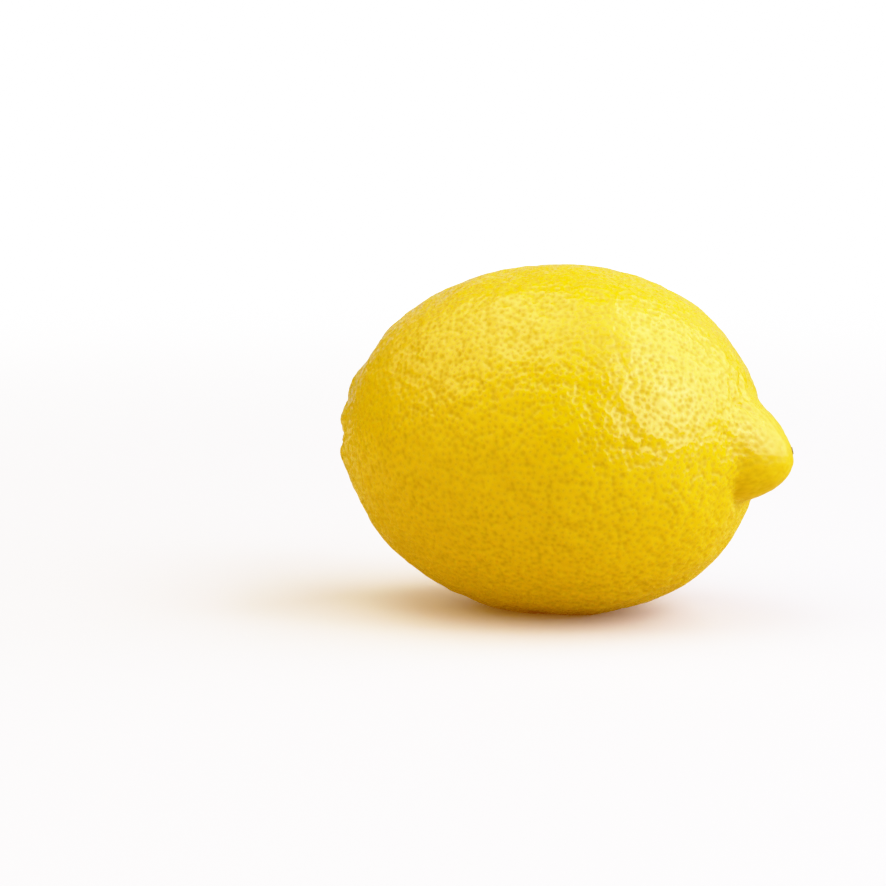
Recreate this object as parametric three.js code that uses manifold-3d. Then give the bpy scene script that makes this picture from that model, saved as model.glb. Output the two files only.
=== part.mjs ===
// A whole lemon, lying on its side on a small flat spot, in millimetres with +Z up.
// The nipple points along +X and the stem end along -X. The origin is on the surface that
// the lemon lies on, below the middle of its overall box.
//
// Two pieces: the fruit, which is one closed skin with its oil-gland pits in relief, and the
// dried calyx button that stays on the stem end when a lemon is clipped from its tree.
import * as THREE from "three";
import Module from "manifold-3d";
import { ConvexGeometry } from "three/addons/geometries/ConvexGeometry.js";
import { mergeVertices } from "three/addons/utils/BufferGeometryUtils.js";

const { degToRad, lerp, smoothstep } = THREE.MathUtils;

// ---- Driving dimensions: millimetres and degrees -------------------------------------------

// The body is a superellipse turned about the X axis, centred on its widest section.
const BODY_RADIUS = 29;
const BODY_HALF_LENGTH = 34.4;
const BODY_SQUARENESS = 2.13; // 2 would be a plain ellipse

// The nipple is a bump round an axis that droops a little. Its upper flank runs out slowly
// into the body and its lower flank drops steeply into a furrow.
const NIPPLE_HEIGHT = 6.2;
const NIPPLE_DROOP = 2.7;
const NIPPLE_SPREAD_ABOVE = 20.6;
const NIPPLE_SPREAD_BELOW = 12.5;
const NIPPLE_TAPER_ABOVE = 2.25;
const NIPPLE_TAPER_BELOW = 1.6;
const FURROW_DEPTH = 0.9;
const FURROW_WIDTH = 1.7; // degrees, as seen from the middle of the body
const FURROW_SIDE = 150; // degrees round the nipple from its top, over the front

// The stem end: a flat seat for the calyx inside a low collar with pleats.
const SEAT_FROM_MIDDLE = 33.6;
const SEAT_RADIUS = 5.2;
const SEAT_WALL = 1.7;
const COLLAR_HEIGHT = 1.7;
const COLLAR_RADIUS = 7.6;
const COLLAR_WIDTH = 4.7;
const PLEATS = 9;
const PLEAT_DEPTH = 0.3;

// Broad swells that keep the body from being a true solid of revolution.
const SWELLS = 14;
const SWELL_HEIGHT = 0.09;
const SWELL_LONGEST = 42;
const SWELL_SHORTEST = 11;
const SWELL_STAGGER = 5.2; // radians from each swell to the next

// Oil-gland pits, about twice as far apart as on the real rind.
const PITS = 1650;
const PIT_DEPTH = 0.24;
const PIT_SCATTER = 0.3; // share of the spacing that each pit strays by
const END_CROWDING = 1.3; // how much denser the pits are at the two ends
const END_CROWDING_SPREAD = 22; // degrees

const FLAT_SPOT_DEPTH = 0.45; // how far the rind gives under the fruit's own weight

// The calyx button: five lobes, a round boss and the clipped end of the stem.
const CALYX_GAP = 0.3;
const CALYX_LOBES = 5;
const CALYX_WAIST_RADIUS = 3.1;
const CALYX_LOBE_RADIUS = 4.7;
const CALYX_THICKNESS = 0.8;
const BOSS_RADIUS = 2.5;
const BOSS_HEIGHT = 0.9;
const STUB_RADIUS = 1.6;
const STUB_HEIGHT = 1.3;

const RIND_YELLOW = 0xf2c500;
const CALYX_OLIVE = 0x8a7a3c;

// ---- Small helpers ---------------------------------------------------------------------------

const GOLDEN_ANGLE = Math.PI * (3 - Math.sqrt(5));

/** A seeded random source, so that every build scatters the pits alike. */
function seededRandom(seed) {
  let state = seed;
  return () => {
    state = (state + 0x6d2b79f5) | 0;
    let t = Math.imul(state ^ (state >>> 15), 1 | state);
    t = (t + Math.imul(t ^ (t >>> 7), 61 | t)) ^ t;
    return ((t ^ (t >>> 14)) >>> 0) / 4294967296;
  };
}

/** The unit direction at `polar` radians from +X, turned `turn` radians round X. */
function direction(polar, turn) {
  const across = Math.sin(polar);
  return new THREE.Vector3(Math.cos(polar), across * Math.cos(turn), across * Math.sin(turn));
}

const degreesBetween = (a, b) => THREE.MathUtils.radToDeg(a.angleTo(b));

// ---- The skin: how far it lies from the middle, in any direction -----------------------------

const NIPPLE_AXIS = new THREE.Vector3(
  Math.cos(degToRad(NIPPLE_DROOP)),
  0,
  -Math.sin(degToRad(NIPPLE_DROOP)),
);
const STEM_AXIS = new THREE.Vector3(-1, 0, 0);

function bodyReach(d) {
  const along = Math.abs(d.x) / BODY_HALF_LENGTH;
  const across = Math.hypot(d.y, d.z) / BODY_RADIUS;
  return (along ** BODY_SQUARENESS + across ** BODY_SQUARENESS) ** (-1 / BODY_SQUARENESS);
}

/** The nipple's rise above the body, less the furrow below its lower front flank. */
function nippleRise(d) {
  const away = degreesBetween(d, NIPPLE_AXIS);
  const round = d.clone().addScaledVector(NIPPLE_AXIS, -d.dot(NIPPLE_AXIS)).normalize();
  const above = (round.z + 1) / 2;
  const spread = lerp(NIPPLE_SPREAD_BELOW, NIPPLE_SPREAD_ABOVE, above);
  const taper = lerp(NIPPLE_TAPER_BELOW, NIPPLE_TAPER_ABOVE, above);
  const share = Math.min(1, away / spread);
  const side = degToRad(FURROW_SIDE);
  const facing = Math.max(0, round.z * Math.cos(side) - round.y * Math.sin(side));
  const furrow = Math.exp(-(((away - NIPPLE_SPREAD_BELOW) / FURROW_WIDTH) ** 2));
  return NIPPLE_HEIGHT * (1 - share * share) ** taper - FURROW_DEPTH * furrow * facing;
}

/** The stem end: the collar with its pleats, and the flat seat inside it. */
function withStemEnd(d, reach) {
  if (d.x > -0.5) return reach;
  const fromAxis = BODY_HALF_LENGTH * Math.sin(d.angleTo(STEM_AXIS));
  const ring = Math.exp(-(((fromAxis - COLLAR_RADIUS) / COLLAR_WIDTH) ** 2));
  const pleat = Math.cos(PLEATS * Math.atan2(d.z, d.y)) * PLEAT_DEPTH;
  const outer = reach + ring * (COLLAR_HEIGHT + pleat);
  const seat = SEAT_FROM_MIDDLE / -d.x;
  return lerp(seat, outer, smoothstep(fromAxis, SEAT_RADIUS, SEAT_RADIUS + SEAT_WALL));
}

/** Plane waves in directions spread by the golden angle, shorter and lower one by one. */
function swell(d) {
  let height = 0;
  for (let i = 0; i < SWELLS; i++) {
    const way = direction(Math.acos(1 - (2 * i + 1) / SWELLS), i * GOLDEN_ANGLE);
    const length = lerp(SWELL_LONGEST, SWELL_SHORTEST, i / (SWELLS - 1));
    const phase = (2 * Math.PI * BODY_RADIUS * way.dot(d)) / length + i * SWELL_STAGGER;
    height += SWELL_HEIGHT * Math.sqrt(length / SWELL_LONGEST) * Math.sin(phase);
  }
  return height;
}

const skinReach = (d) => withStemEnd(d, bodyReach(d) + nippleRise(d) + swell(d));

// ---- The pits ------------------------------------------------------------------------------

/** Polar angles that share the skin's area out evenly, but for the crowding at the ends. */
function polarAngles(count) {
  const steps = 720;
  const shares = [0];
  for (let i = 1; i <= steps; i++) {
    const polar = (Math.PI * (i - 0.5)) / steps;
    const reach = bodyReach(direction(polar, 0));
    const fromEnd = THREE.MathUtils.radToDeg(Math.min(polar, Math.PI - polar));
    const crowding = 1 + END_CROWDING * Math.exp(-((fromEnd / END_CROWDING_SPREAD) ** 2));
    shares.push(shares[i - 1] + reach ** 2 * Math.sin(polar) * crowding);
  }
  let step = 1;
  return Array.from({ length: count }, (_, i) => {
    const wanted = ((i + 0.5) / count) * shares[steps];
    while (shares[step] < wanted) step++;
    const part = (wanted - shares[step - 1]) / (shares[step] - shares[step - 1]);
    return (Math.PI * (step - 1 + part)) / steps;
  });
}

/** Directions of the pits: a golden-angle spiral along X, each strayed a little. */
function pitDirections() {
  const random = seededRandom(7);
  const spacing = Math.sqrt((4 * Math.PI) / PITS);
  return polarAngles(PITS).map((polar, i) => {
    const d = direction(polar, i * GOLDEN_ANGLE);
    const stray = direction(Math.acos(2 * random() - 1), 2 * Math.PI * random());
    return d.addScaledVector(stray, PIT_SCATTER * spacing * random()).normalize();
  });
}

/** No pits in the calyx seat, and shallow ones at the tip of the nipple. */
function pitDepth(d) {
  const fromStem = BODY_HALF_LENGTH * Math.sin(Math.min(Math.PI / 2, d.angleTo(STEM_AXIS)));
  const outsideSeat = smoothstep(fromStem, SEAT_RADIUS, SEAT_RADIUS + 3 * SEAT_WALL);
  const belowTip = smoothstep(degreesBetween(d, NIPPLE_AXIS), 1, NIPPLE_SPREAD_BELOW);
  return PIT_DEPTH * outsideSeat * lerp(0.3, 1, belowTip);
}

// ---- The fruit -----------------------------------------------------------------------------

/**
 * The pits are joined into triangles, each triangle gets a raised point in its middle, and the
 * surface is laid over those points, so that each pit is a hollow ringed by its neighbours.
 */
function fruitGeometry() {
  const pits = pitDirections();
  const net = mergeVertices(stripped(new ConvexGeometry(pits)), 1e-5);
  const hull = net.attributes.position;
  const corners = net.index.array;
  const points = [];
  for (let i = 0; i < hull.count; i++) {
    const d = new THREE.Vector3().fromBufferAttribute(hull, i).normalize();
    points.push(d.clone().multiplyScalar(skinReach(d) - pitDepth(d)));
  }
  const middleBeside = new Map();
  for (let t = 0; t < corners.length; t += 3) {
    const three = [corners[t], corners[t + 1], corners[t + 2]];
    const d = new THREE.Vector3();
    for (const corner of three) d.add(new THREE.Vector3().fromBufferAttribute(hull, corner));
    d.normalize();
    for (let k = 0; k < 3; k++) middleBeside.set(`${three[k]} ${three[(k + 1) % 3]}`, points.length);
    points.push(d.multiplyScalar(skinReach(d)));
  }
  const faces = [];
  for (const [edge, left] of middleBeside) {
    const [from, to] = edge.split(" ");
    faces.push(Number(from), middleBeside.get(`${to} ${from}`), left);
  }
  flatten(points);
  const geometry = new THREE.BufferGeometry().setFromPoints(points);
  geometry.setIndex(faces);
  geometry.computeVertexNormals();
  return geometry;
}

/** The same geometry with positions only, ready for merging. */
function stripped(geometry) {
  geometry.deleteAttribute("normal");
  geometry.deleteAttribute("uv");
  return geometry;
}

/** Presses the lowest points up to one level, which is the flat spot that the fruit lies on. */
function flatten(points) {
  const level = Math.min(...points.map((p) => p.z)) + FLAT_SPOT_DEPTH;
  for (const p of points) p.z = Math.max(p.z, level);
}

// ---- The calyx button ----------------------------------------------------------------------

/** Outline of the five lobes, pointed at their tips and rounded between them. */
function lobedOutline() {
  const outline = new THREE.Shape();
  const steps = 12 * CALYX_LOBES;
  for (let i = 0; i < steps; i++) {
    const turn = (2 * Math.PI * i) / steps;
    const lobe = 1 - Math.abs(Math.sin((CALYX_LOBES * turn) / 2));
    const radius = lerp(CALYX_WAIST_RADIUS, CALYX_LOBE_RADIUS, lobe ** 0.8);
    const point = [radius * Math.cos(turn), radius * Math.sin(turn)];
    if (i === 0) outline.moveTo(...point);
    else outline.lineTo(...point);
  }
  outline.closePath();
  return outline;
}

/** The boss and the clipped stub as one turned form, from its foot up its own axis. */
function bossGeometry() {
  const foot = CALYX_THICKNESS / 2;
  const shoulder = CALYX_THICKNESS + BOSS_HEIGHT;
  const profile = [
    new THREE.Vector2(0, foot),
    new THREE.Vector2(BOSS_RADIUS, foot),
    new THREE.Vector2(BOSS_RADIUS, CALYX_THICKNESS),
    new THREE.Vector2((BOSS_RADIUS + STUB_RADIUS) / 2, shoulder - BOSS_HEIGHT / 3),
    new THREE.Vector2(STUB_RADIUS, shoulder),
    new THREE.Vector2(STUB_RADIUS * 0.94, shoulder + STUB_HEIGHT),
    new THREE.Vector2(0, shoulder + STUB_HEIGHT),
  ];
  return new THREE.LatheGeometry(profile, 24).rotateX(Math.PI / 2);
}

/** Joins closed geometries into one. */
async function joined(geometries) {
  const wasm = await Module();
  wasm.setup();
  const solids = geometries.map((geometry) => {
    const merged = mergeVertices(stripped(geometry), 1e-4);
    const index = merged.index ?? mergeVertices(merged).index;
    return new wasm.Manifold(
      new wasm.Mesh({
        numProp: 3,
        vertProperties: new Float32Array(merged.attributes.position.array),
        triVerts: new Uint32Array(index.array),
      }),
    );
  });
  const whole = solids.reduce((sum, solid) => sum.add(solid)).getMesh();
  const geometry = new THREE.BufferGeometry();
  geometry.setAttribute("position", new THREE.BufferAttribute(whole.vertProperties, 3));
  geometry.setIndex(new THREE.BufferAttribute(whole.triVerts, 1));
  geometry.computeVertexNormals();
  return geometry;
}

async function calyxGeometry() {
  const star = new THREE.ExtrudeGeometry(lobedOutline(), {
    depth: CALYX_THICKNESS,
    bevelEnabled: false,
  });
  return joined([star, bossGeometry()]);
}

// ---- The lemon -----------------------------------------------------------------------------

const rind = new THREE.MeshStandardMaterial({ color: RIND_YELLOW, roughness: 0.42, metalness: 0 });
const dried = new THREE.MeshStandardMaterial({ color: CALYX_OLIVE, roughness: 0.85, metalness: 0 });

const fruit = new THREE.Mesh(fruitGeometry(), rind);
fruit.name = "fruit";

const calyx = new THREE.Mesh(await calyxGeometry(), dried);
calyx.name = "calyx_button";
calyx.rotation.y = -Math.PI / 2;
calyx.position.x = -SEAT_FROM_MIDDLE - CALYX_GAP;

const lemon = new THREE.Group();
lemon.name = "lemon";
lemon.add(fruit, calyx);

const box = new THREE.Box3().setFromObject(lemon);
const middle = box.getCenter(new THREE.Vector3());
lemon.position.set(-middle.x, -middle.y, -box.min.z);

export default lemon;
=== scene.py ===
"""A whole lemon lying on its side: a waxy rind full of oil-gland pits, and a dried calyx button.

Every piece is in metres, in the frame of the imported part: +X along the fruit towards its nipple,
+Z up, and the front at -Y. The skin is worked out in millimetres from the middle of the body.
"""

import math

import bmesh
import bpy
import numpy as np
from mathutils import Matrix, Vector, kdtree, noise


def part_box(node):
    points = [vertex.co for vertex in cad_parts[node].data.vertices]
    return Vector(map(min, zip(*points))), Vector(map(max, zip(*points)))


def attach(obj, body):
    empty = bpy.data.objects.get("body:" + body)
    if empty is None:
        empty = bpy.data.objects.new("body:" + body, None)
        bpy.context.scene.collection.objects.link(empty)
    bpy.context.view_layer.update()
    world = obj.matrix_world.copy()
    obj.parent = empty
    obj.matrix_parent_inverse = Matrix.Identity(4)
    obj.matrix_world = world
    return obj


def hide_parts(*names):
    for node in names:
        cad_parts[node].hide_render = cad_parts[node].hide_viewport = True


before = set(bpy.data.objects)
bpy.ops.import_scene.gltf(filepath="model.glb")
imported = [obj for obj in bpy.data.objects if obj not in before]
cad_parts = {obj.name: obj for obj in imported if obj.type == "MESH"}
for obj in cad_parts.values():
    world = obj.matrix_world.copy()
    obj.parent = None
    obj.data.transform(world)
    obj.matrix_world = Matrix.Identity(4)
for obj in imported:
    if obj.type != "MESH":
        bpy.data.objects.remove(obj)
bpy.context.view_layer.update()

MM = 0.001
GOLDEN_ANGLE = math.pi * (3 - math.sqrt(5))

# ---- Driving dimensions, in millimetres and degrees, as in the part's own source --------------

BODY_RADIUS = 29
BODY_HALF_LENGTH = 34.4
BODY_SQUARENESS = 2.13

NIPPLE_HEIGHT = 6.2
NIPPLE_DROOP = 2.7
NIPPLE_SPREAD_ABOVE = 20.6
NIPPLE_SPREAD_BELOW = 12.5
NIPPLE_TAPER_ABOVE = 2.25
NIPPLE_TAPER_BELOW = 1.6
FURROW_DEPTH = 0.9
FURROW_WIDTH = 1.7
FURROW_SIDE = 150

SEAT_FROM_MIDDLE = 33.6
SEAT_RADIUS = 5.2
SEAT_WALL = 1.7
COLLAR_HEIGHT = 1.7
COLLAR_RADIUS = 7.6
COLLAR_WIDTH = 4.7
PLEATS = 9
PLEAT_DEPTH = 0.3

SWELLS = 14
SWELL_HEIGHT = 0.09
SWELL_LONGEST = 42
SWELL_SHORTEST = 11
SWELL_STAGGER = 5.2

FLAT_SPOT_DEPTH = 0.45

CALYX_GAP = 0.3
CALYX_LOBES = 5
CALYX_WAIST_RADIUS = 3.1
CALYX_LOBE_RADIUS = 4.7
CALYX_THICKNESS = 0.8
BOSS_RADIUS = 2.5
BOSS_HEIGHT = 0.9
STUB_RADIUS = 1.6
STUB_HEIGHT = 1.3

# ---- The finer relief, which only this script has ----------------------------------------------

PORE_SPACING = 0.81  # the least, from middle to middle; it comes to 1.1 on average
PORE_TRIES = 75000
PORE_SEED = 11
RIM_SHARE = 34  # how far a pit's rim lies along the way to the next pore, in percent
PORE_DEPTH = 0.215
PORE_WIDTH = 0.58  # from the middle of a pit to where its wall meets the land
PORE_SIZES = (0.52, 1.35)  # the smallest and the largest, as shares of the depth and the width
PORE_SIZE_SEED = 5
CORE_RADIUS = 0.1  # the darkest part in the middle of every pit
CORE_FADE = 0.57  # where the dark has faded out, in a pit of the usual size
END_CROWDING = 0.25  # how much closer the pores lie at the two ends
END_CROWDING_SPREAD = 22  # degrees from an end
COARSENESS = 0.3  # how far the pits' depth strays from one patch of skin to the next
COARSENESS_LENGTH = 8  # from patch to patch
TIP_PITTING = 0.5  # the share of their depth that the pits keep on the nipple's tip
TIP_SMOOTH = (4, 17)  # degrees from the nipple's axis over which they deepen again
TIP_DULLNESS_AND_SHADE = 0.28  # the wax is worn there, which dulls the tip; the same share tints it darker as painted shade
SEAT_MARKS = 0.35  # the pits' colour that is left where they are all but flat

STEM_WRINKLES = 8  # waves round the stem, with a crease at each one's crest and trough
STEM_WRINKLE_DEPTH = 0.3
STEM_WRINKLE_SHARPNESS = 4
STEM_WRINKLE_RADIUS = 7.4
STEM_WRINKLE_SPREAD = 3.2
STEM_WRINKLE_STRAY = 5  # radians that a crease may wander off its line
STEM_WRINKLE_BENDS = 9  # the larger, the sooner it turns back
STEM_TINT_RADIUS = 13
NIPPLE_CREASES = (  # each point as degrees round from the front and degrees of rise
    ((84.5, 22), (80.5, 19), (79.5, 16.5), (80.5, 14), (83, 12.5), (84, 10.5)),
    ((88.5, 20.5), (86, 18), (86, 15)),
)
CREASE_DEPTH = 0.34
CREASE_WIDTH = 0.6

DIMPLE_LENGTHS = (9.0, 4.6, 2.9, 1.7)  # soft unevenness between the swells and the pits
DIMPLE_HEIGHTS = (0.12, 0.15, 0.15, 0.07)


def smoothstep(x, low, high):
    """From 0 at low to 1 at high, flat at both."""
    share = np.clip((x - low) / (high - low), 0, 1)
    return share * share * (3 - 2 * share)


def vector(turn, rise):
    """The direction at turn degrees round from the front towards +X, and rise above level."""
    turn = math.radians(turn)
    rise = math.radians(rise)
    level = math.cos(rise)
    return Vector((math.sin(turn) * level, -math.cos(turn) * level, math.sin(rise)))


def directions(polar, turn):
    """Unit directions at polar radians from +X, turned turn radians round X."""
    across = np.sin(polar)
    return np.stack([np.cos(polar), across * np.cos(turn), across * np.sin(turn)], axis=-1)


# ---- The skin: how far it lies from the middle of the body, in millimetres ---------------------


def body_reach(ways):
    along = np.abs(ways[..., 0]) / BODY_HALF_LENGTH
    across = np.hypot(ways[..., 1], ways[..., 2]) / BODY_RADIUS
    return (along**BODY_SQUARENESS + across**BODY_SQUARENESS) ** (-1 / BODY_SQUARENESS)


def nipple_place(ways):
    """Degrees from the nipple's axis, and the direction round it."""
    droop = math.radians(NIPPLE_DROOP)
    axis = np.array([math.cos(droop), 0, -math.sin(droop)])
    lean = ways @ axis
    away = np.degrees(np.arccos(np.clip(lean, -1, 1)))
    side = ways - lean[..., None] * axis
    return away, side / np.maximum(np.linalg.norm(side, axis=-1, keepdims=True), 1e-9)


def nipple_rise(ways):
    away, side = nipple_place(ways)
    above = (side[..., 2] + 1) / 2
    spread = NIPPLE_SPREAD_BELOW + (NIPPLE_SPREAD_ABOVE - NIPPLE_SPREAD_BELOW) * above
    taper = NIPPLE_TAPER_BELOW + (NIPPLE_TAPER_ABOVE - NIPPLE_TAPER_BELOW) * above
    share = np.minimum(1, away / spread)
    turn = math.radians(FURROW_SIDE)
    facing = np.maximum(0, side[..., 2] * math.cos(turn) - side[..., 1] * math.sin(turn))
    furrow = np.exp(-(((away - NIPPLE_SPREAD_BELOW) / FURROW_WIDTH) ** 2))
    return NIPPLE_HEIGHT * (1 - share**2) ** taper - FURROW_DEPTH * furrow * facing


def from_stem_axis(ways):
    """Millimetres from the stem's axis at the stem end, and a large number elsewhere."""
    return np.where(ways[..., 0] < -0.5, BODY_HALF_LENGTH * np.hypot(ways[..., 1], ways[..., 2]), 1e3)


def with_stem_end(ways, reach):
    away = from_stem_axis(ways)
    ring = np.exp(-(((away - COLLAR_RADIUS) / COLLAR_WIDTH) ** 2))
    pleat = np.cos(PLEATS * np.arctan2(ways[..., 2], ways[..., 1])) * PLEAT_DEPTH
    outer = reach + ring * (COLLAR_HEIGHT + pleat)
    seat = SEAT_FROM_MIDDLE / np.maximum(-ways[..., 0], 0.5)
    return seat + (outer - seat) * smoothstep(away, SEAT_RADIUS, SEAT_RADIUS + SEAT_WALL)


def swell(ways):
    height = np.zeros(ways.shape[:-1])
    for i in range(SWELLS):
        crest = directions(math.acos(1 - (2 * i + 1) / SWELLS), i * GOLDEN_ANGLE)
        length = SWELL_LONGEST + (SWELL_SHORTEST - SWELL_LONGEST) * i / (SWELLS - 1)
        phase = 2 * math.pi * BODY_RADIUS * (ways @ crest) / length + i * SWELL_STAGGER
        height += SWELL_HEIGHT * math.sqrt(length / SWELL_LONGEST) * np.sin(phase)
    return height


def skin_reach(ways):
    return with_stem_end(ways, body_reach(ways) + nipple_rise(ways) + swell(ways))


# ---- Modelling helpers -------------------------------------------------------------------------


def only(piece):
    """Selects this piece alone, in object mode."""
    if bpy.context.object and bpy.context.object.mode != "OBJECT":
        bpy.ops.object.mode_set(mode="OBJECT")
    bpy.ops.object.select_all(action="DESELECT")
    piece.select_set(True)
    bpy.context.view_layer.objects.active = piece


def places(mesh):
    co = np.empty(len(mesh.vertices) * 3)
    mesh.vertices.foreach_get("co", co)
    return co.reshape(-1, 3)


def set_places(mesh, co):
    mesh.vertices.foreach_set("co", np.ascontiguousarray(co, dtype=np.float32).ravel())
    mesh.update()


def attribute(mesh, name, values):
    made = mesh.attributes.new(name, "FLOAT", "POINT")
    made.data.foreach_set("value", np.ascontiguousarray(values, dtype=np.float32))


def tree_of(points):
    """A tree that finds the nearest of these points."""
    tree = kdtree.KDTree(len(points))
    for i, point in enumerate(points):
        tree.insert(point, i)
    tree.balance()
    return tree


# ---- The rind ----------------------------------------------------------------------------------


def pore_directions():
    """Directions scattered at random over the skin, none nearer the next than the pore spacing,
    which is closer towards the two ends."""
    rng = np.random.default_rng(PORE_SEED)
    tries = rng.normal(size=(PORE_TRIES, 3))
    tries /= np.linalg.norm(tries, axis=1, keepdims=True)
    from_end = np.degrees(np.arccos(np.abs(tries[:, 0])))
    crowding = 1 - END_CROWDING * np.exp(-((from_end / END_CROWDING_SPREAD) ** 2))
    spacing = PORE_SPACING * crowding / body_reach(tries)
    tree = tree_of(tries)
    free = np.ones(PORE_TRIES, dtype=bool)
    kept = []
    for i in range(PORE_TRIES):
        if free[i]:
            kept.append(i)
            for _, near, _ in tree.find_range(tries[i], spacing[i]):
                free[near] = False
    return tries[kept]


def net_of_pores(pores):
    """One point for each pore, wrapped in triangles. A rim is cut round every point, which leaves
    six sides to every triangle, and a middle is set into every face. Each pit then has a floor
    and a rim, and the other middles carry the ridges that part it from the next."""
    mesh = bpy.data.meshes.new("rind")
    mesh.from_pydata(pores.tolist(), [], [])
    rind = bpy.data.objects.new("rind", mesh)
    bpy.context.scene.collection.objects.link(rind)
    only(rind)
    bpy.ops.object.mode_set(mode="EDIT")
    bpy.ops.mesh.select_all(action="SELECT")
    bpy.ops.mesh.convex_hull(join_triangles=False)
    bpy.ops.mesh.bevel(
        affect="VERTICES", offset_type="PERCENT", offset_pct=RIM_SHARE, clamp_overlap=False
    )
    bpy.ops.mesh.select_all(action="SELECT")
    bpy.ops.mesh.poke()
    bpy.ops.mesh.normals_make_consistent(inside=False)
    bpy.ops.object.mode_set(mode="OBJECT")
    return rind


def uneven(points):
    """Soft Perlin unevenness in millimetres, at points in millimetres."""
    height = np.zeros(len(points))
    for length, tall in zip(DIMPLE_LENGTHS, DIMPLE_HEIGHTS):
        height += [tall * noise.noise(Vector(point) / length) for point in points]
    return height


def pore_bowls(ways, pores):
    """How deep in a pit each direction lies, as a share of the usual pit's depth, and how near
    its dark core, from 0 to 1."""
    tree = tree_of(pores)
    nearest = [tree.find(way) for way in ways]
    away = np.array([gap for _, _, gap in nearest]) * body_reach(ways)
    owner = np.array([pore for _, pore, _ in nearest])
    rng = np.random.default_rng(PORE_SIZE_SEED)
    size = rng.uniform(*PORE_SIZES, len(pores))[owner]
    bowl = (1 - smoothstep(away, 0, PORE_WIDTH * size)) * size
    core = 1 - smoothstep(away, CORE_RADIUS, CORE_FADE * size)
    return bowl, core


def stem_wrinkles(ways, from_stem):
    """Fine creases that run out from the calyx and fade on the shoulder."""
    turn = np.arctan2(ways[:, 2], ways[:, 1])
    stray = np.array([noise.noise(Vector(way) * STEM_WRINKLE_BENDS) for way in ways])
    fade = np.exp(-(((from_stem - STEM_WRINKLE_RADIUS) / STEM_WRINKLE_SPREAD) ** 2))
    wave = np.cos(STEM_WRINKLES * turn + STEM_WRINKLE_STRAY * stray)
    return -STEM_WRINKLE_DEPTH * fade * wave**STEM_WRINKLE_SHARPNESS


def creases(ways):
    """The short creases where the nipple's upper side joins the body."""
    height = np.zeros(len(ways))
    for crease in NIPPLE_CREASES:
        line = [np.array(vector(*way)) for way in crease]
        for start, end in zip(line, line[1:]):
            run = end - start
            share = np.clip((ways - start) @ run / (run @ run), 0, 1)
            away = np.linalg.norm(ways - start - share[:, None] * run, axis=1) * BODY_HALF_LENGTH
            height = np.minimum(height, -CREASE_DEPTH * np.exp(-((away / CREASE_WIDTH) ** 2)))
    return height


def make_rind():
    """The finished rind, and where the middle of its body lies. The rind's overall box is set
    over the solid's, and its flat spot on the floor."""
    pores = pore_directions()
    rind = net_of_pores(pores)
    ways = places(rind.data)
    ways /= np.linalg.norm(ways, axis=1, keepdims=True)
    bowl, core = pore_bowls(ways, pores)
    from_stem = from_stem_axis(ways)
    outside_seat = smoothstep(from_stem, CALYX_LOBE_RADIUS, SEAT_RADIUS + SEAT_WALL)
    from_tip, _ = nipple_place(ways)
    past_tip = smoothstep(from_tip, *TIP_SMOOTH)
    pitted = outside_seat * (TIP_PITTING + (1 - TIP_PITTING) * past_tip)
    coarse = np.array([noise.noise(Vector(way * BODY_RADIUS / COARSENESS_LENGTH)) for way in ways])
    pitted *= 1 + COARSENESS * coarse
    reach = skin_reach(ways)
    land = outside_seat * uneven(ways * reach[:, None]) - PORE_DEPTH * bowl * pitted
    land += stem_wrinkles(ways, from_stem) + creases(ways)
    points = ways * (reach + land)[:, None]
    level = (ways * reach[:, None])[:, 2].min() + FLAT_SPOT_DEPTH
    points[:, 2] = np.maximum(points[:, 2], level)
    low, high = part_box("fruit")
    shift = (np.array(low) + np.array(high)) / 2
    middle = (points.min(0) + points.max(0)) / 2
    shift[2] = (middle[2] - level) * MM
    set_places(rind.data, (points - middle) * MM + shift)
    # worn wax dulls the nipple's tip, and the same share darkens its colour as painted shade
    worn_and_shaded = TIP_DULLNESS_AND_SHADE * (1 - past_tip)
    attribute(rind.data, "pore", np.maximum(core * np.clip(pitted, SEAT_MARKS, 1), worn_and_shaded))
    attribute(rind.data, "stem_end", np.exp(-((from_stem / STEM_TINT_RADIUS) ** 2)))
    only(rind)
    bpy.ops.object.shade_smooth()
    return rind, Vector(shift - middle * MM)


# ---- The calyx button and the scar of the flower's style, in millimetres -----------------------

LOBE_REACHES = (1.2, 1.1, 1.16, 1.08, 1.14)  # smoothing draws the tips in again
LOBE_PULLS = (  # a cosine that says how close to the lobe's line a corner is, and its pull
    (0.94, 0.42),
    (0.99, 0.58),
)
CALYX_SINK = 0.1  # how far its underside is let into the seat
LOBE_EDGE = 0.35
LOBE_ROUNDING = 0.4  # a share: 1 is a full circle
BOSS_FOOT = 0.5
BUTTON_RINGS = (  # each one's radius, and its rise over the last, from the lobes to the stub's end
    (0.92 * BOSS_RADIUS, 0.7 * BOSS_HEIGHT),
    ((BOSS_RADIUS + STUB_RADIUS) / 2, 0.3 * BOSS_HEIGHT),
    (1.06 * STUB_RADIUS, -0.3 * BOSS_HEIGHT),
    (1.06 * STUB_RADIUS, 0.3 * BOSS_HEIGHT + 0.5 * STUB_HEIGHT),
    (0.94 * STUB_RADIUS, 0.5 * STUB_HEIGHT),
)
BARK = 0.28  # its thickness round the clipped face
CLIPPED_RADIUS = 0.62 * STUB_RADIUS
CLIPPED_HOLLOW = 0.22  # the wood dries and sinks inside the bark
HEARTWOOD_EDGE = 0.45
HEARTWOOD_RISE = 0.1
CALYX_SMOOTHING = 4  # levels of subdivision, enough to carry the ribs

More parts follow.
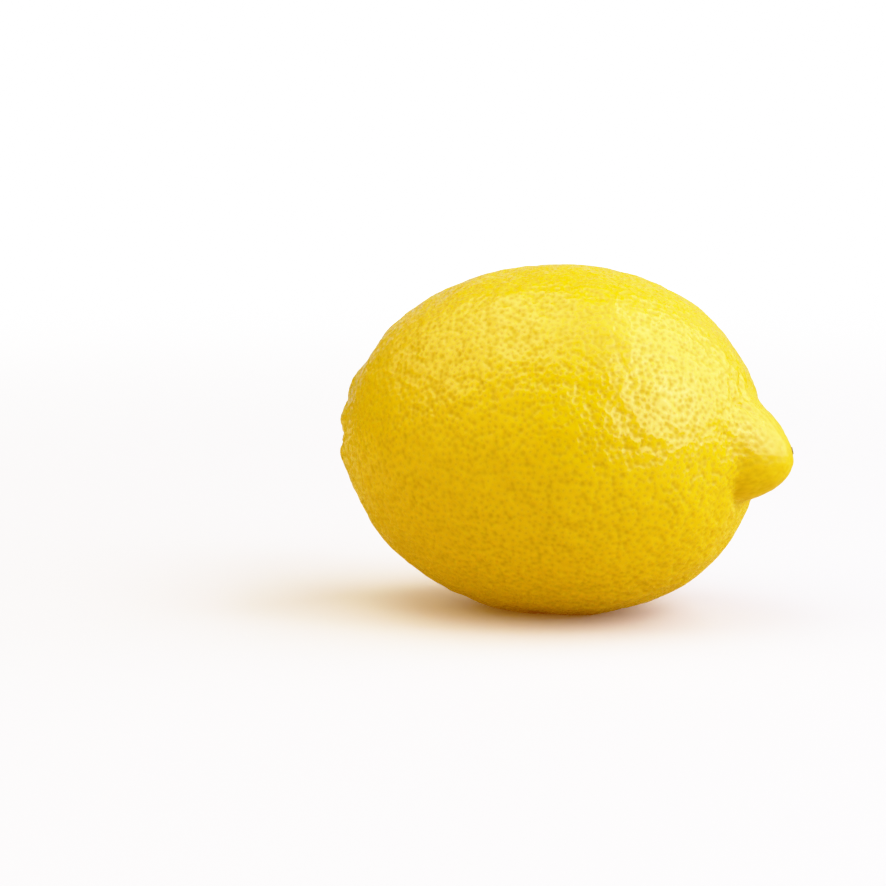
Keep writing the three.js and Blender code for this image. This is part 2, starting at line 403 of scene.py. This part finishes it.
RIBS_PER_LOBE = 7
RIB_DEPTH = 0.09
RIB_STRAY = 3.5  # radians that a rib may wander off its line
RIB_BENDS = 4  # the larger, the sooner the next rib wanders another way
RIB_RUN = 6  # the larger, the straighter a rib runs outwards
RIB_FOOT = (-0.1, 0.3)  # heights between which the ribs set in, up the lobes' edge
RIB_INNER_RADIUS = 0.3 * BOSS_RADIUS
WRINKLE_DEPTH = 0.12
WRINKLE_LENGTH = 0.45
FACE_EDGE = (-0.35, -0.2)  # heights under the stub's end between which the clipped face begins
FACE_RADIUS = 0.8 * STUB_RADIUS
LEVEL_SHADE = 0.4  # how much of the painted shade's brown is left where the surface is level
FULL_LIFT = 4 * RIB_DEPTH  # the difference in height from no painted shade to full painted shade

SCAR_RADIUS = 0.7
SCAR_SIDES = 12
SCAR_PUSHES = (0.2, 0.08, -0.12, 0.15, 0.1, -0.08)  # they make its edge uneven
ONE_CORNER = 0.97  # a cosine that picks out the corner of one push
SCAR_HEIGHT = 0.09
SCAR_SINK = 0.16
SCAR_TOP = 0.85  # the top's width, as a share of the foot's
SCAR_LIP = 0.16
SCAR_HOLLOW = 0.07
SCAR_CORE_EDGE = 0.12
SCAR_CORE_RISE = 0.05
SCAR_SMOOTHING = 2
SAME_HEIGHT = 0.01  # corners this close in height count as level
SCAR_TURN = 107  # degrees round from the front: a little past the nipple's tip
SCAR_RISE = 12


def start_cylinder(name, sides, radius, low, high):
    """A cylinder between two heights, open for modelling. All lengths are in millimetres."""
    bpy.ops.object.select_all(action="DESELECT")
    bpy.ops.mesh.primitive_cylinder_add(
        vertices=sides,
        radius=radius * MM,
        depth=(high - low) * MM,
        location=(0, 0, (high + low) / 2 * MM),
    )
    piece = bpy.context.object
    piece.name = name
    bpy.ops.object.transform_apply(location=True)
    piece.select_set(True)
    bpy.ops.object.mode_set(mode="EDIT")
    bpy.ops.mesh.select_all(action="DESELECT")
    return piece


def select_corners(piece, wanted):
    """Selects the corners whose place, in millimetres, is wanted, and what lies between them."""
    bpy.ops.mesh.select_all(action="DESELECT")
    net = bmesh.from_edit_mesh(piece.data)
    for corner in net.verts:
        corner.select_set(wanted(corner.co / MM))
    net.select_flush(True)
    bmesh.update_edit_mesh(piece.data)


def select_towards(piece, out, near):
    """Selects the corners that lie close to one direction, seen from above."""
    select_corners(piece, lambda co: co.xy.normalized().dot(out.xy) > near)


def select_top(piece):
    net = bmesh.from_edit_mesh(piece.data)
    top = max(face.calc_center_median().z for face in net.faces)
    select_corners(piece, lambda co: co.z > top / MM - SAME_HEIGHT)


def raise_top(height):
    """Draws the selected face up by millimetres, on new walls."""
    bpy.ops.mesh.extrude_region_move(TRANSFORM_OT_translate={"value": (0, 0, height * MM)})


def outward(i, count):
    """The direction of the i-th of so many spokes round the upright axis."""
    turn = i * math.tau / count
    return Vector((math.cos(turn), math.sin(turn), 0))


def widen(share):
    bpy.ops.transform.resize(value=(share, share, 1), center_override=(0, 0, 0))


def set_radius(piece, radius):
    """Widens or narrows the selected ring to a radius in millimetres."""
    net = bmesh.from_edit_mesh(piece.data)
    rim = [corner.co.xy.length for corner in net.verts if corner.select]
    widen(radius * MM / max(rim))


def close_top(piece, levels):
    """Sets a middle into the selected face, turns every face outwards, and smooths the piece."""
    bpy.ops.mesh.poke()
    bpy.ops.mesh.select_all(action="SELECT")
    bpy.ops.mesh.normals_make_consistent(inside=False)
    bpy.ops.object.mode_set(mode="OBJECT")
    only(piece)
    smooth = piece.modifiers.new("smooth", "SUBSURF")
    smooth.levels = levels
    smooth.render_levels = levels
    bpy.ops.object.modifier_apply(modifier=smooth.name)
    bpy.ops.object.shade_smooth()


def set_down(piece, place, turned):
    """Turns a piece that was modelled standing up, and puts it in its place."""
    piece.rotation_euler = turned
    piece.location = place
    bpy.ops.object.transform_apply(location=True, rotation=True)


def make_calyx(middle):
    """Five dried lobes round a ring, and the clipped end of the stem in its middle. It is
    modelled standing up, and then turned to face -X on its seat."""
    sides = 4 * CALYX_LOBES
    foot = -CALYX_GAP - CALYX_SINK
    calyx = start_cylinder("dried_calyx", sides, CALYX_WAIST_RADIUS, foot, CALYX_THICKNESS)
    for i, reach in enumerate(LOBE_REACHES):
        tip = outward(i, CALYX_LOBES)
        for near, share in LOBE_PULLS:
            select_towards(calyx, tip, near)
            pull = (CALYX_LOBE_RADIUS * reach - CALYX_WAIST_RADIUS) * share
            bpy.ops.transform.translate(value=tip * pull * MM)
    select_top(calyx)
    bpy.ops.mesh.inset(thickness=LOBE_EDGE * MM)
    bpy.ops.transform.tosphere(value=LOBE_ROUNDING)
    bpy.ops.mesh.inset(thickness=BOSS_FOOT * MM)
    bpy.ops.transform.tosphere(value=1)
    set_radius(calyx, BOSS_RADIUS)
    for radius, rise in BUTTON_RINGS:
        raise_top(rise)
        set_radius(calyx, radius)
    bpy.ops.mesh.inset(thickness=BARK * MM)
    raise_top(-CLIPPED_HOLLOW)
    set_radius(calyx, CLIPPED_RADIUS)
    bpy.ops.mesh.inset(thickness=HEARTWOOD_EDGE * MM)
    raise_top(HEARTWOOD_RISE)
    close_top(calyx, CALYX_SMOOTHING)
    wrinkle(calyx)
    seat = middle - Vector(((SEAT_FROM_MIDDLE + CALYX_GAP) * MM, 0, 0))
    set_down(calyx, seat, (0, -math.pi / 2, 0))
    return calyx


def wrinkle(calyx):
    """Ribs that run out along the lobes, bark-like furrows up the stub, and the small wrinkles
    of drying. The clipped face is marked for its own colour, and the low parts for painted shade
    in dark brown, deepest where the surface lies lowest."""
    co = places(calyx.data) / MM
    turn = np.arctan2(co[:, 1], co[:, 0])
    away = np.hypot(co[:, 0], co[:, 1])
    spots = np.stack([np.cos(turn), np.sin(turn), away / RIB_RUN], axis=-1)
    stray = np.array([noise.noise(Vector(spot) * RIB_BENDS) for spot in spots])
    ribs = np.cos(CALYX_LOBES * RIBS_PER_LOBE * turn + RIB_STRAY * stray)
    rough = np.array([noise.noise(Vector(point) / WRINKLE_LENGTH) for point in co])
    stub_end = CALYX_THICKNESS + BOSS_HEIGHT + STUB_HEIGHT
    cut = smoothstep(co[:, 2] - stub_end, *FACE_EDGE) * (away < FACE_RADIUS)
    ribbed = smoothstep(co[:, 2], *RIB_FOOT) * smoothstep(away, RIB_INNER_RADIUS, BOSS_RADIUS)
    lift = RIB_DEPTH * ribs * ribbed * (1 - cut) + WRINKLE_DEPTH * rough
    normals = np.empty(co.size)
    calyx.data.vertices.foreach_get("normal", normals)
    set_places(calyx.data, (co + normals.reshape(-1, 3) * lift[:, None]) * MM)
    attribute(calyx.data, "cut", cut)
    # painted shade: the lower the surface lies, the more of the dark furrow brown it gets
    attribute(calyx.data, "hollow", np.clip(LEVEL_SHADE - lift / FULL_LIFT, 0, 1))


def make_scar(rind):
    """The small dry scar that the flower's style leaves beside the tip of the nipple: a low
    disc with an uneven edge, a lip, and a hollow with a core."""
    scar = start_cylinder("style_scar", SCAR_SIDES, SCAR_RADIUS, -SCAR_SINK, SCAR_HEIGHT)
    for i, push in enumerate(SCAR_PUSHES):
        out = outward(i, len(SCAR_PUSHES))
        select_towards(scar, out, ONE_CORNER)
        bpy.ops.transform.translate(value=out * push * MM)
    select_top(scar)
    widen(SCAR_TOP)
    bpy.ops.mesh.inset(thickness=SCAR_LIP * MM)
    raise_top(-SCAR_HOLLOW)
    bpy.ops.mesh.inset(thickness=SCAR_CORE_EDGE * MM)
    raise_top(SCAR_CORE_RISE)
    close_top(scar, SCAR_SMOOTHING)
    way = vector(SCAR_TURN, SCAR_RISE)
    tip = max((corner.co for corner in rind.data.vertices), key=lambda co: co.dot(way))
    set_down(scar, tip, way.to_track_quat("Z", "Y").to_euler())
    return scar


# ---- Materials ---------------------------------------------------------------------------------

RIPE_YELLOW = "#E2C600"
DEEP_YELLOW = "#DEBE00"
PIT_OLIVE = "#C8AC00"
STEM_END_GREEN = "#BFB21C"
RIB_OLIVE = "#7E7A40"
RIB_TAN = "#9A8250"
FURROW_SHADE_BROWN = "#5A4A24"
CLIPPED_WOOD = "#B59A63"
CORK_DARK = "#4A3A1C"
CORK_LIGHT = "#7C6230"

LAND_ROUGHNESS = 0.2  # waxed skin between the pits
PIT_ROUGHNESS = 0.8
PIT_TINT = 0.9  # how far a pit's dark core goes to its own colour
STEM_GREENING = 0.55
RIND_IOR = 1.62  # plant wax has about 1.45, and more makes up for the soft lights

PATCH_SPACING = 17  # slow drifts of ripeness, in millimetres as the others
GRAIN_SPACING = 0.6  # the real grain, about 0.1, is too fine to show and is drawn coarser
BLOTCH_SPACING = 1.4
FIBRE_SPACING = 0.25  # the real fibres, about 0.05, are too fine to show and are drawn coarser
CORK_SPACING = 0.7


def linear(hex_colour):
    """An sRGB hex colour as linear RGBA."""
    srgb = [int(hex_colour[i : i + 2], 16) / 255 for i in (1, 3, 5)]
    return [c / 12.92 if c <= 0.04045 else ((c + 0.055) / 1.055) ** 2.4 for c in srgb] + [1]


def noise_scale(spacing):
    """The scale of a noise on Object coordinates whose blotches lie this many millimetres apart."""
    return 1 / (spacing * MM)


def add(tree, kind, inputs=(), **settings):
    """Adds a node with its settings. Each input takes a value, or the socket that feeds it."""
    node = tree.nodes.new(kind)
    for name, value in settings.items():
        setattr(node, name, value)
    for name, value in dict(inputs).items():
        if isinstance(value, bpy.types.NodeSocket):
            tree.links.new(value, node.inputs[name])
        else:
            node.inputs[name].default_value = value
    return node


def start_material(name):
    """A new material, with its tree and its shader."""
    material = bpy.data.materials.new(name)
    material.use_nodes = True
    return material, material.node_tree, material.node_tree.nodes["Principled BSDF"]


def waxy_rind():
    """The skin of a ripe lemon under its thin natural wax. The land between the pits is a deep,
    even yellow with a soft gloss, faintly grained so that the highlight breaks up. The pits are
    dull and a little olive. Light sinks in and comes back warm, and the stem end is greener."""
    material, tree, shader = start_material("waxy_lemon_rind")
    spot = add(tree, "ShaderNodeTexCoord").outputs["Object"]
    pore = add(tree, "ShaderNodeAttribute", attribute_name="pore").outputs["Fac"]
    stem_end = add(tree, "ShaderNodeAttribute", attribute_name="stem_end").outputs["Fac"]
    patches = add(
        tree,
        "ShaderNodeTexNoise",
        {"Vector": spot, "Scale": noise_scale(PATCH_SPACING), "Detail": 2},
    )
    ground = add(
        tree,
        "ShaderNodeMix",
        {0: patches.outputs["Fac"], 6: linear(RIPE_YELLOW), 7: linear(DEEP_YELLOW)},
        data_type="RGBA",
    )
    greener = add(tree, "ShaderNodeMath", {0: stem_end, 1: STEM_GREENING}, operation="MULTIPLY")
    tinted = add(
        tree,
        "ShaderNodeMix",
        {0: greener.outputs[0], 6: ground.outputs[2], 7: linear(STEM_END_GREEN)},
        data_type="RGBA",
    )
    # the pits' own olive, and on the nipple's tip a darker tint that is painted shade
    darker = add(tree, "ShaderNodeMath", {0: pore, 1: PIT_TINT}, operation="MULTIPLY")
    colour = add(
        tree,
        "ShaderNodeMix",
        {0: darker.outputs[0], 6: tinted.outputs[2], 7: linear(PIT_OLIVE)},
        data_type="RGBA",
    )
    tree.links.new(colour.outputs[2], shader.inputs["Base Color"])
    dullness = add(
        tree,
        "ShaderNodeMapRange",
        {"Value": pore, "To Min": LAND_ROUGHNESS, "To Max": PIT_ROUGHNESS},
    )
    tree.links.new(dullness.outputs[0], shader.inputs["Roughness"])
    grain = add(
        tree,
        "ShaderNodeTexNoise",
        {"Vector": spot, "Scale": noise_scale(GRAIN_SPACING), "Detail": 3},
    )
    bump = add(
        tree,
        "ShaderNodeBump",
        {"Height": grain.outputs["Fac"], "Strength": 0.5, "Distance": 0.06 * MM},
    )
    tree.links.new(bump.outputs[0], shader.inputs["Normal"])
    shader.inputs["IOR"].default_value = RIND_IOR
    shader.inputs["Subsurface Weight"].default_value = 0.4
    shader.inputs["Subsurface Radius"].default_value = (1.0, 0.6, 0.15)
    shader.inputs["Subsurface Scale"].default_value = 1.5 * MM
    return material


def dried_calyx():
    """Dry plant tissue, woody and matt: grey olive on the ribs, painted shade in dark brown in the
    furrows, and a paler fibrous face where the stem was clipped."""
    material, tree, shader = start_material("dried_calyx_and_stem")
    spot = add(tree, "ShaderNodeTexCoord").outputs["Object"]
    hollow = add(tree, "ShaderNodeAttribute", attribute_name="hollow").outputs["Fac"]
    cut = add(tree, "ShaderNodeAttribute", attribute_name="cut").outputs["Fac"]
    blotch = add(
        tree,
        "ShaderNodeTexNoise",
        {"Vector": spot, "Scale": noise_scale(BLOTCH_SPACING), "Detail": 4},
    )
    ground = add(
        tree,
        "ShaderNodeMix",
        {0: blotch.outputs["Fac"], 6: linear(RIB_OLIVE), 7: linear(RIB_TAN)},
        data_type="RGBA",
    )
    # painted shade: dark brown in the furrows and wrinkles, where the surface lies low
    furrow_shaded = add(
        tree,
        "ShaderNodeMix",
        {0: hollow, 6: ground.outputs[2], 7: linear(FURROW_SHADE_BROWN)},
        data_type="RGBA",
    )
    colour = add(
        tree,
        "ShaderNodeMix",
        {0: cut, 6: furrow_shaded.outputs[2], 7: linear(CLIPPED_WOOD)},
        data_type="RGBA",
    )
    tree.links.new(colour.outputs[2], shader.inputs["Base Color"])
    fibre = add(
        tree,
        "ShaderNodeTexNoise",
        {"Vector": spot, "Scale": noise_scale(FIBRE_SPACING), "Detail": 3},
    )
    bump = add(
        tree,
        "ShaderNodeBump",
        {"Height": fibre.outputs["Fac"], "Strength": 0.5, "Distance": 0.1 * MM},
    )
    tree.links.new(bump.outputs[0], shader.inputs["Normal"])
    shader.inputs["Roughness"].default_value = 0.75
    shader.inputs["Specular IOR Level"].default_value = 0.35
    return material


def corky_scar():
    """Corky scar tissue: dark brown, dry and matt, and blotched."""
    material, tree, shader = start_material("corky_scar")
    spot = add(tree, "ShaderNodeTexCoord").outputs["Object"]
    cork = add(
        tree,
        "ShaderNodeTexNoise",
        {"Vector": spot, "Scale": noise_scale(CORK_SPACING), "Detail": 3},
    )
    colour = add(
        tree,
        "ShaderNodeMix",
        {0: cork.outputs["Fac"], 6: linear(CORK_DARK), 7: linear(CORK_LIGHT)},
        data_type="RGBA",
    )
    tree.links.new(colour.outputs[2], shader.inputs["Base Color"])
    shader.inputs["Roughness"].default_value = 0.7
    return material


# ---- The studio, in metres, degrees and watts --------------------------------------------------

VIEW_TURN = 20  # degrees that the nipple points towards the camera
VIEW_RISE = 8
VIEW_DISTANCE = 0.48
AIM_LEFT = 0.01852  # the camera aims beside the fruit, which stands to the right in the frame
AIM_DOWN = 0.00066  # and a little under its middle
SENSOR_WIDTH = 36  # millimetres
FRAME_WIDTH = 886  # pixels
FOCAL_PIXELS = 2894

FLOOR_RADIUS = 0.7
FLOOR_SIDES = 96
FLOOR_FADE = 0.12  # from here outwards it fades
FLOOR_COLOUR = "#E2E8FF"
BOUNCE_COLOUR = "#C8B97A"
SHADOW_GLOW = "#F6A860"
SHADOW_GLOW_STRENGTH = 0.14
ROOM_LIGHT = 0.12
ROOM_COLOUR = "#FFEFA0"

LIGHT_DISTANCE = 0.9
SOFTBOXES = (  # name, degrees round from the front, degrees of rise, width, watts and colour
    ("key", 116, 36, 1.05, 8.8, "#FFFFFF"),
    ("overhead", 20, 87, 1.04, 3.5, "#FFFFFF"),
    ("side", 68, 28, 0.7, 5.0, "#FFFFFF"),
    ("left", -75, 55, 1.0, 5.1, "#FFF0C8"),
    ("front", -35, 20, 1.0, 3.4, "#FFE28C"),
    ("backdrop", 200, 6, 1.1, 1.9, "#FFFFFF"),
)
BRIGHTEST = 1.7  # the light that comes out as pure white
TONES = (  # other lights, and how bright each comes out
    (0.03, 0.008),
    (0.1, 0.085),
    (0.45, 0.45),
    (0.75, 0.74),
    (1.0, 0.9),
    (1.3, 0.975),
)


def make_camera(middle):
    data = bpy.data.cameras.new("camera")
    camera = bpy.data.objects.new("camera", data)
    bpy.context.scene.collection.objects.link(camera)
    back = vector(VIEW_TURN, VIEW_RISE)
    across = Vector((0, 0, 1)).cross(back).normalized()
    up = back.cross(across)
    aim = middle - across * AIM_LEFT - up * AIM_DOWN
    camera.location = middle + back * VIEW_DISTANCE
    camera.rotation_euler = (camera.location - aim).to_track_quat("Z", "Y").to_euler()
    data.sensor_width = SENSOR_WIDTH
    data.lens = SENSOR_WIDTH * FOCAL_PIXELS / FRAME_WIDTH
    data.clip_start = 0.01
    bpy.context.scene.camera = camera


def make_softbox(middle, name, turn, rise, width, watts, colour):
    """A square light that faces the fruit."""
    data = bpy.data.lights.new(name, "AREA")
    data.shape = "SQUARE"
    data.size = width
    data.energy = watts
    data.color = linear(colour)[:3]
    light = bpy.data.objects.new(name, data)
    bpy.context.scene.collection.objects.link(light)
    light.location = middle + vector(turn, rise) * LIGHT_DISTANCE
    light.rotation_euler = vector(turn, rise).to_track_quat("Z", "Y").to_euler()
    light.visible_camera = False


def white_board():
    """A matt white board that fades out into the white backdrop. The light it bounces is warm,
    so that its pale reflection doesn't wash out the deep yellow of the underside, and a faint
    orange glow keeps the shadow under the fruit warm."""
    material, tree, board = start_material("matte_white_board")
    seen = add(tree, "ShaderNodeLightPath").outputs["Is Camera Ray"]
    tone = add(
        tree,
        "ShaderNodeMix",
        {0: seen, 6: linear(BOUNCE_COLOUR), 7: linear(FLOOR_COLOUR)},
        data_type="RGBA",
    )
    tree.links.new(tone.outputs[2], board.inputs["Base Color"])
    board.inputs["Roughness"].default_value = 0.7
    board.inputs["Specular IOR Level"].default_value = 0.2
    board.inputs["Emission Color"].default_value = linear(SHADOW_GLOW)
    board.inputs["Emission Strength"].default_value = SHADOW_GLOW_STRENGTH
    spot = add(tree, "ShaderNodeTexCoord").outputs["Object"]
    away = add(tree, "ShaderNodeVectorMath", {0: spot}, operation="LENGTH")
    fade = add(
        tree,
        "ShaderNodeMapRange",
        {"Value": away.outputs["Value"], "From Min": FLOOR_FADE, "From Max": FLOOR_RADIUS},
        interpolation_type="SMOOTHSTEP",
    )
    gone = add(tree, "ShaderNodeBsdfTransparent")
    mixed = add(
        tree,
        "ShaderNodeMixShader",
        {0: fade.outputs[0], 1: board.outputs[0], 2: gone.outputs[0]},
    )
    tree.links.new(mixed.outputs[0], tree.nodes["Material Output"].inputs["Surface"])
    return material


def make_floor():
    bpy.ops.mesh.primitive_circle_add(
        vertices=FLOOR_SIDES, radius=FLOOR_RADIUS, fill_type="NGON"
    )
    floor = bpy.context.object
    floor.name = "floor"
    floor.data.materials.append(white_board())


def make_world():
    """White to the camera, and a soft warm fill to everything else."""
    world = bpy.data.worlds.new("studio")
    bpy.context.scene.world = world
    world.use_nodes = True
    tree = world.node_tree
    seen = add(tree, "ShaderNodeLightPath").outputs["Is Camera Ray"]
    fill = tree.nodes["Background"]
    fill.inputs["Color"].default_value = linear(ROOM_COLOUR)
    fill.inputs["Strength"].default_value = ROOM_LIGHT
    white = add(tree, "ShaderNodeBackground", {"Color": (1, 1, 1, 1), "Strength": BRIGHTEST})
    mixed = add(tree, "ShaderNodeMixShader", {0: seen, 1: fill.outputs[0], 2: white.outputs[0]})
    tree.links.new(mixed.outputs[0], tree.nodes["World Output"].inputs["Surface"])


def develop():
    """The picture's tones: dim light a little darker, and a soft roll-off into white."""
    view = bpy.context.scene.view_settings
    view.view_transform = "Standard"
    view.use_curve_mapping = True
    tones = view.curve_mapping
    tones.clip_max_x = BRIGHTEST
    all_channels = tones.curves[3]
    all_channels.points[1].location = (BRIGHTEST, 1)
    for light, shown in TONES:
        all_channels.points.new(light, shown)
    tones.update()


# ---- The part ----------------------------------------------------------------------------------

rind, middle = make_rind()
rind.data.materials.append(waxy_rind())
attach(rind, "root")
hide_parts("fruit")

calyx = make_calyx(middle)
calyx.data.materials.append(dried_calyx())
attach(calyx, "root")
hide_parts("calyx_button")

scar = make_scar(rind)
scar.data.materials.append(corky_scar())
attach(scar, "root")

make_camera(middle)
make_floor()
make_world()
for box in SOFTBOXES:
    make_softbox(middle, *box)
develop()
